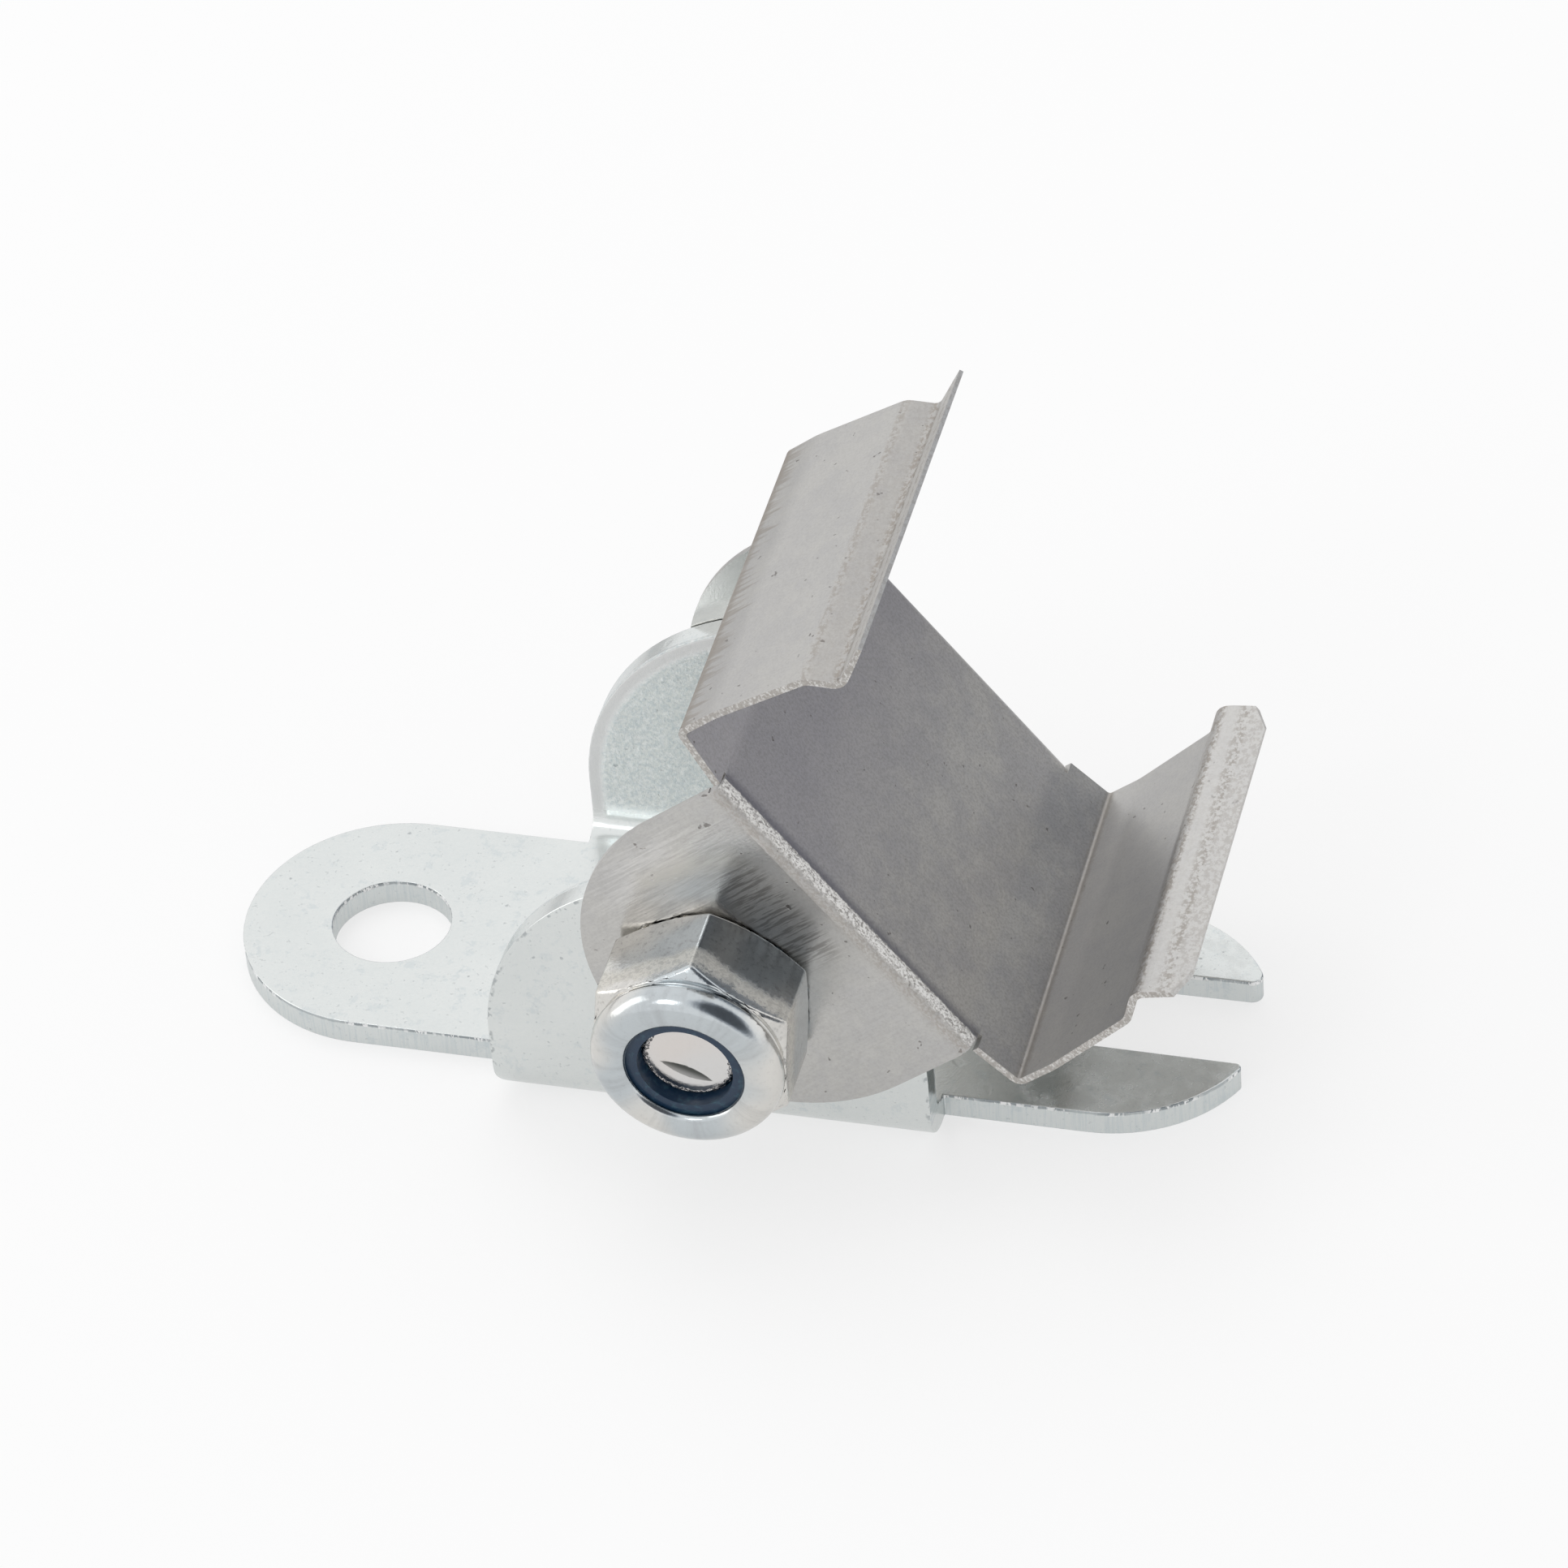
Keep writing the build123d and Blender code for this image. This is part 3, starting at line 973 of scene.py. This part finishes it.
@dataclass
class SpringClip:
    """The clip: one folded sheet with two lips and two ears, exactly as its solid has it."""

    node: str = "spring_clip"

    def build(self, finish: SpringSteel) -> bpy.types.Object:
        """Dresses the clip.

        Args:
            finish: Its metal.

        Returns:
            The piece.
        """
        piece = frame["nodes"][self.node]
        dress(piece, finish.build())
        return piece


@dataclass
class HexBolt:
    """A hexagon bolt, threaded to its head."""

    across_flats: float = 10.0
    head_height: float = 4.0
    chamfer: float = math.radians(30)
    major: float = 2.95
    minor: float = 2.42
    pitch: float = 1.0
    tip_radius: float = 2.25
    head_segments: int = 96
    thread_segments: int = 64
    overlap: float = 0.2  # how far the shank reaches into the head
    sharp_degrees: float = 32.0

    def head(self, seat: float) -> bpy.types.Mesh:
        """Makes the head as rings that follow the hexagon and its chamfer.

        Args:
            seat: Where its bearing face is along the bolt.

        Returns:
            The closed mesh.
        """
        flat = self.across_flats / 2
        top = seat + self.head_height
        sector = math.pi / 3
        made = bmesh.new()
        seated, chamfered, crown = [], [], []
        for i in range(self.head_segments):
            turn = 2 * math.pi * i / self.head_segments
            across, up = math.cos(turn), math.sin(turn)
            reach = flat / math.cos(((turn + sector / 2) % sector) - sector / 2)
            fall = (reach - flat) * math.tan(self.chamfer)
            for ring, radius, height in (
                (seated, reach, seat),
                (chamfered, reach, top - fall),
                (crown, flat, top),
            ):
                ring.append(Vector((radius * across, height, radius * up + BOLT_HEIGHT)) * MM)
        loops = [[made.verts.new(point) for point in ring] for ring in (seated, chamfered, crown)]
        for lower, upper in zip(loops, loops[1:]):
            for i in range(self.head_segments):
                j = (i + 1) % self.head_segments
                made.faces.new((lower[i], lower[j], upper[j], upper[i]))
        made.faces.new(loops[0])
        made.faces.new(loops[-1])
        bmesh.ops.remove_doubles(made, verts=made.verts, dist=2 * WELD * MM)
        bmesh.ops.recalc_face_normals(made, faces=made.faces)
        mesh = bpy.data.meshes.new("bolt_head")
        made.to_mesh(mesh)
        made.free()
        return mesh

    def thread(self, seat: float, tip: float, material: bpy.types.Material) -> bpy.types.Mesh:
        """Makes the threaded shank with Geometry Nodes.

        Args:
            seat: Where it leaves the head along the bolt.
            tip: Where it ends.
            material: The finish.

        Returns:
            The closed mesh.
        """
        # Four rows make each turn; the others are shares of the pitch
        rows_a_turn, crest, flank, root = 4, 1 / 8, 5 / 16, 1 / 4
        sizes = {
            "Seat": seat,
            "Tip": tip,
            "Axis Height": BOLT_HEIGHT,
            "Major Radius": self.major,
            "Minor Radius": self.minor,
            "Pitch": self.pitch,
            "Tip Radius": self.tip_radius,
        }
        g = Shape("bolt_thread", sizes)
        turns = (g.size("Seat") - g.size("Tip")) / g.size("Pitch") + 2
        rows = g.math("CEIL", turns) * rows_a_turn
        counts = {"Vertices X": self.thread_segments + 1, "Vertices Y": rows + 1}
        grid = g.node("GeometryNodeMeshGrid", {}, {"Size X": 1.0, "Size Y": 1.0, **counts})
        u, v, _ = g.parts(g.term(g.node("GeometryNodeInputPosition", {}, {})))
        share = u + 0.5
        row = g.math("ROUND", (v + 0.5) * rows)
        step = g.math("FLOORED_MODULO", row, rows_a_turn)
        turn = g.math("FLOOR", row / rows_a_turn)
        in_root = g.math("GREATER_THAN", step, 1.5)
        onward = (1 - in_root) * step * crest + in_root * (crest + flank + (step - 2) * root)
        place = g.size("Seat") - (turn + onward + share - 1) * g.size("Pitch")
        place = g.math("MINIMUM", g.math("MAXIMUM", place, g.size("Tip")), g.size("Seat"))
        depth = g.size("Major Radius") - g.size("Minor Radius")
        radius = g.size("Major Radius") - in_root * depth
        radius = g.math("MINIMUM", radius, g.size("Tip Radius") + (place - g.size("Tip")))
        last = g.math("GREATER_THAN", row, rows - 0.5) + g.math("LESS_THAN", row, 0.5)
        radius = radius * (1 - last)
        angle = share * (2 * math.pi)
        across = g.math("COSINE", angle) * radius
        up = g.math("SINE", angle) * radius + g.size("Axis Height")
        where = g.joined(across * MM, place * MM, up * MM)
        sockets = {"Geometry": g.term(grid), "Position": where}
        moved = g.node("GeometryNodeSetPosition", {}, sockets)
        sockets = {"Geometry": g.term(moved), "Distance": 2 * WELD * MM}
        whole = g.term(g.node("GeometryNodeMergeByDistance", {}, sockets))
        return g.mesh(whole, material)

    def build(self, finish: TurnedZinc) -> bpy.types.Object:
        """Makes the whole bolt.

        Args:
            finish: What it is plated with.

        Returns:
            The piece.
        """
        low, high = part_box("bolt")
        tip, seat = low.y / MM, high.y / MM - self.head_height
        material = finish.build()
        head = self.head(seat)
        whole = bmesh.new()
        whole.from_mesh(head)
        shank = bmesh.new()
        shank.from_mesh(self.thread(seat + self.overlap, tip, material))
        bmesh.ops.recalc_face_normals(shank, faces=shank.faces)
        joined = bpy.data.meshes.new("hex_bolt")
        shank.to_mesh(joined)
        shank.free()
        whole.from_mesh(joined)
        whole.to_mesh(joined)
        whole.free()
        bpy.data.meshes.remove(head)
        piece = bpy.data.objects.new("hex_bolt", joined)
        bpy.context.collection.objects.link(piece)
        smooth(piece, self.sharp_degrees)
        dress(piece, material)
        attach(piece, "bracket")
        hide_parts("bolt")
        return piece


@dataclass
class LockNut:
    """The nut with its rolled collar, and the nylon ring inside."""

    edge: float = 0.16
    sharp_degrees: float = 32.0

    def build(self, finish: TurnedZinc, ring: LockRing) -> list[bpy.types.Object]:
        """Makes the nut and dresses the ring.

        Args:
            finish: What the nut is plated with.
            ring: The ring's plastic.

        Returns:
            The two pieces.
        """
        nut = eased(merged_copy("lock_nut"), "lock_nut_body", self.edge)
        smooth(nut, self.sharp_degrees)
        dress(nut, finish.build())
        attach(nut, "bracket")
        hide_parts("lock_nut")
        insert = frame["nodes"]["nylon_insert"]
        dress(insert, ring.build())
        return [nut, insert]


# ---------------------------------------------------------------- studio


@dataclass(frozen=True)
class Softbox:
    """One soft lamp: where it is, how large, and how bright it looks."""

    name: str
    place: Point
    width: float
    height: float
    glow: float
    colour: Colour = (1.0, 1.0, 1.0)
    mirrored: bool = False

    def build(self) -> bpy.types.Object:
        """Returns the lamp, turned to the object."""
        lamp = bpy.data.lights.new(self.name, "AREA")
        lamp.shape = "RECTANGLE"
        lamp.size, lamp.size_y = self.width, self.height
        lamp.energy = self.glow * math.pi * self.width * self.height
        lamp.color = self.colour
        made = bpy.data.objects.new(self.name, lamp)
        made.location = self.place
        made.visible_glossy = self.mirrored
        aim = Vector((0.0, 0.0, BOLT_HEIGHT * MM)) - Vector(self.place)
        made.rotation_euler = aim.to_track_quat("-Z", "Y").to_euler()
        bpy.context.collection.objects.link(made)
        return made


@dataclass(frozen=True)
class DarkWall:
    """A softly shaded part of the surround, which only metal mirrors."""

    way: Point
    start: float
    full: float
    loss: float

    def share(self, tree: NodeTree, way: Term) -> Term:
        """Gives how much of the wall lies each way."""
        return tree.ease(tree.dot(way, self.way), self.start, self.full)


@dataclass
class Studio:
    """A pale floor, a white surround and three soft lamps."""

    right: DarkWall = DarkWall((0.676, 0.737, 0.0), 0.93, 0.985, 0.74)
    upper: DarkWall = DarkWall((0.455, 0.724, 0.525), 0.90, 0.98, 0.72)
    corner: DarkWall = DarkWall((0.55, -0.53, 0.645), 0.76, 0.93, 0.88)
    pale: Colour = (0.995, 0.995, 1.0)
    cold: Colour = (0.80, 0.88, 1.0)
    floor_half: float = 2.5
    floor: Colour = (0.93, 0.93, 0.93)
    shadow_share: float = 0.35
    surround: float = 0.80
    mirror_loss: float = 0.16
    end_loss: float = 0.55
    table_end: tuple[float, float] = (35.0, 80.0)

    def build_floor(self) -> bpy.types.Object:
        """Returns the floor, which shows white but keeps the object's shadow."""
        mesh = bpy.data.meshes.new("floor")
        half = self.floor_half
        corners = [(-half, -half, 0.0), (half, -half, 0.0), (half, half, 0.0), (-half, half, 0.0)]
        mesh.from_pydata(corners, [], [(0, 1, 2, 3)])
        piece = bpy.data.objects.new("floor", mesh)
        bpy.context.collection.objects.link(piece)
        p = Paint("floor")
        rays = p.node("ShaderNodeLightPath", {}, {})
        mirrored = p.term(rays, "Is Glossy Ray")
        seen = p.math("MAXIMUM", p.term(rays, "Is Camera Ray"), mirrored)
        seen = p.math("MAXIMUM", seen, p.term(rays, "Is Transmission Ray"))
        paper = p.node("ShaderNodeBsdfDiffuse", {}, {"Color": self.floor})
        behind = p.ease(p.y, *self.table_end)
        level = 1.0 - mirrored * (self.mirror_loss + self.end_loss * behind)
        white = p.node("ShaderNodeEmission", {}, {"Color": (1.0, 1.0, 1.0), "Strength": level})
        share = seen * (1 - self.shadow_share)
        both = p.node("ShaderNodeMixShader", {}, {0: share, 1: p.term(paper), 2: p.term(white)})
        p.node("ShaderNodeOutputMaterial", {}, {"Surface": p.term(both)})
        piece.data.materials.append(p.material)
        return piece

    def build_surround(self) -> bpy.types.World:
        """Returns the world: white to look at, with softly shaded walls for the metal."""
        world = bpy.data.worlds.new("studio")
        world.use_nodes = True
        bpy.context.scene.world = world
        t = NodeTree(world.node_tree)
        way = t.term(t.node("ShaderNodeTexCoord", {}, {}), "Generated")
        rays = t.node("ShaderNodeLightPath", {}, {})
        right = self.right.share(t, way)
        upper = self.upper.share(t, way)
        corner = self.corner.share(t, way)
        metal = 1.0 - self.right.loss * right - self.upper.loss * upper
        metal = metal - self.corner.loss * corner
        through = t.term(rays, "Is Transmission Ray")
        clear = t.math("MAXIMUM", t.term(rays, "Is Camera Ray"), through)
        glossy = t.term(rays, "Is Glossy Ray")
        hidden = (1 - clear) * (1 - glossy)
        strength = clear + (1 - clear) * glossy * metal + hidden * self.surround
        tints = {0: (corner + upper) * glossy, 6: self.pale, 7: self.cold}
        wall = t.node("ShaderNodeMix", {"data_type": "RGBA"}, tints)
        sockets = {"Color": t.term(wall, 2), "Strength": strength}
        light = t.node("ShaderNodeBackground", {}, sockets)
        t.node("ShaderNodeOutputWorld", {}, {"Surface": t.term(light)})
        return world

    def build(self) -> None:
        """Makes the floor, the surround and the lamps."""
        self.build_floor()
        self.build_surround()
        for box in (
            Softbox("softbox_over", (-0.15, 0.25, 0.55), 0.45, 0.45, 1.1),
            Softbox("softbox_left", (-0.6, -0.15, 0.25), 0.30, 0.45, 0.9, (1.0, 0.985, 0.95), True),
            Softbox("softbox_front", (-0.28, -0.5, 0.5), 0.22, 0.2, 2.2, (0.97, 0.985, 1.0), True),
        ):
            box.build()


@dataclass(frozen=True)
class Eye:
    """The camera: its place in millimetres, the way it is turned and its lens."""

    place: Point = (83.363, -267.930, 256.210)
    right: Point = (0.96892, 0.23877, -0.06473)
    down: Point = (0.10910, -0.64722, -0.75447)
    ahead: Point = (-0.22204, 0.72395, -0.65315)
    sensor: float = 36.0
    lens: float = 164.71

    def build(self) -> bpy.types.Object:
        """Returns the scene's camera."""
        data = bpy.data.cameras.new("eye")
        data.sensor_width, data.lens = self.sensor, self.lens
        data.clip_start, data.clip_end = 0.01, 20.0
        made = bpy.data.objects.new("eye", data)
        turn = Matrix((self.right, -Vector(self.down), -Vector(self.ahead))).transposed()
        place = Vector(self.place) * MM
        made.matrix_world = Matrix.LocRotScale(place, turn.to_quaternion(), None)
        bpy.context.collection.objects.link(made)
        bpy.context.scene.camera = made
        return made


def main() -> None:
    """Builds every piece in order, then the studio."""
    logging.basicConfig(level=logging.INFO, format="%(name)s: %(message)s")
    bpy.context.scene.view_settings.view_transform = "Standard"
    nut_finish = TurnedZinc(TurnedPart.NUT, "zinc_nut")
    bolt_finish = TurnedZinc(
        TurnedPart.BOLT,
        "zinc_bolt",
        warm=(0.74, 0.70, 0.67),
        blue=(0.72, 0.71, 0.70),
        gloss=0.05,
        spokes=0.0,
        speckle=0.4,
    )
    made = [
        Bracket().build(ZincSheet()),
        SpringClip().build(SpringSteel()),
        HexBolt().build(bolt_finish),
        *LockNut().build(nut_finish, LockRing()),
    ]
    for piece in made:
        log.info("%s has %d faces", piece.name, len(piece.data.polygons))
    Studio().build()
    Eye().build()


if __name__ == "__main__":
    main()
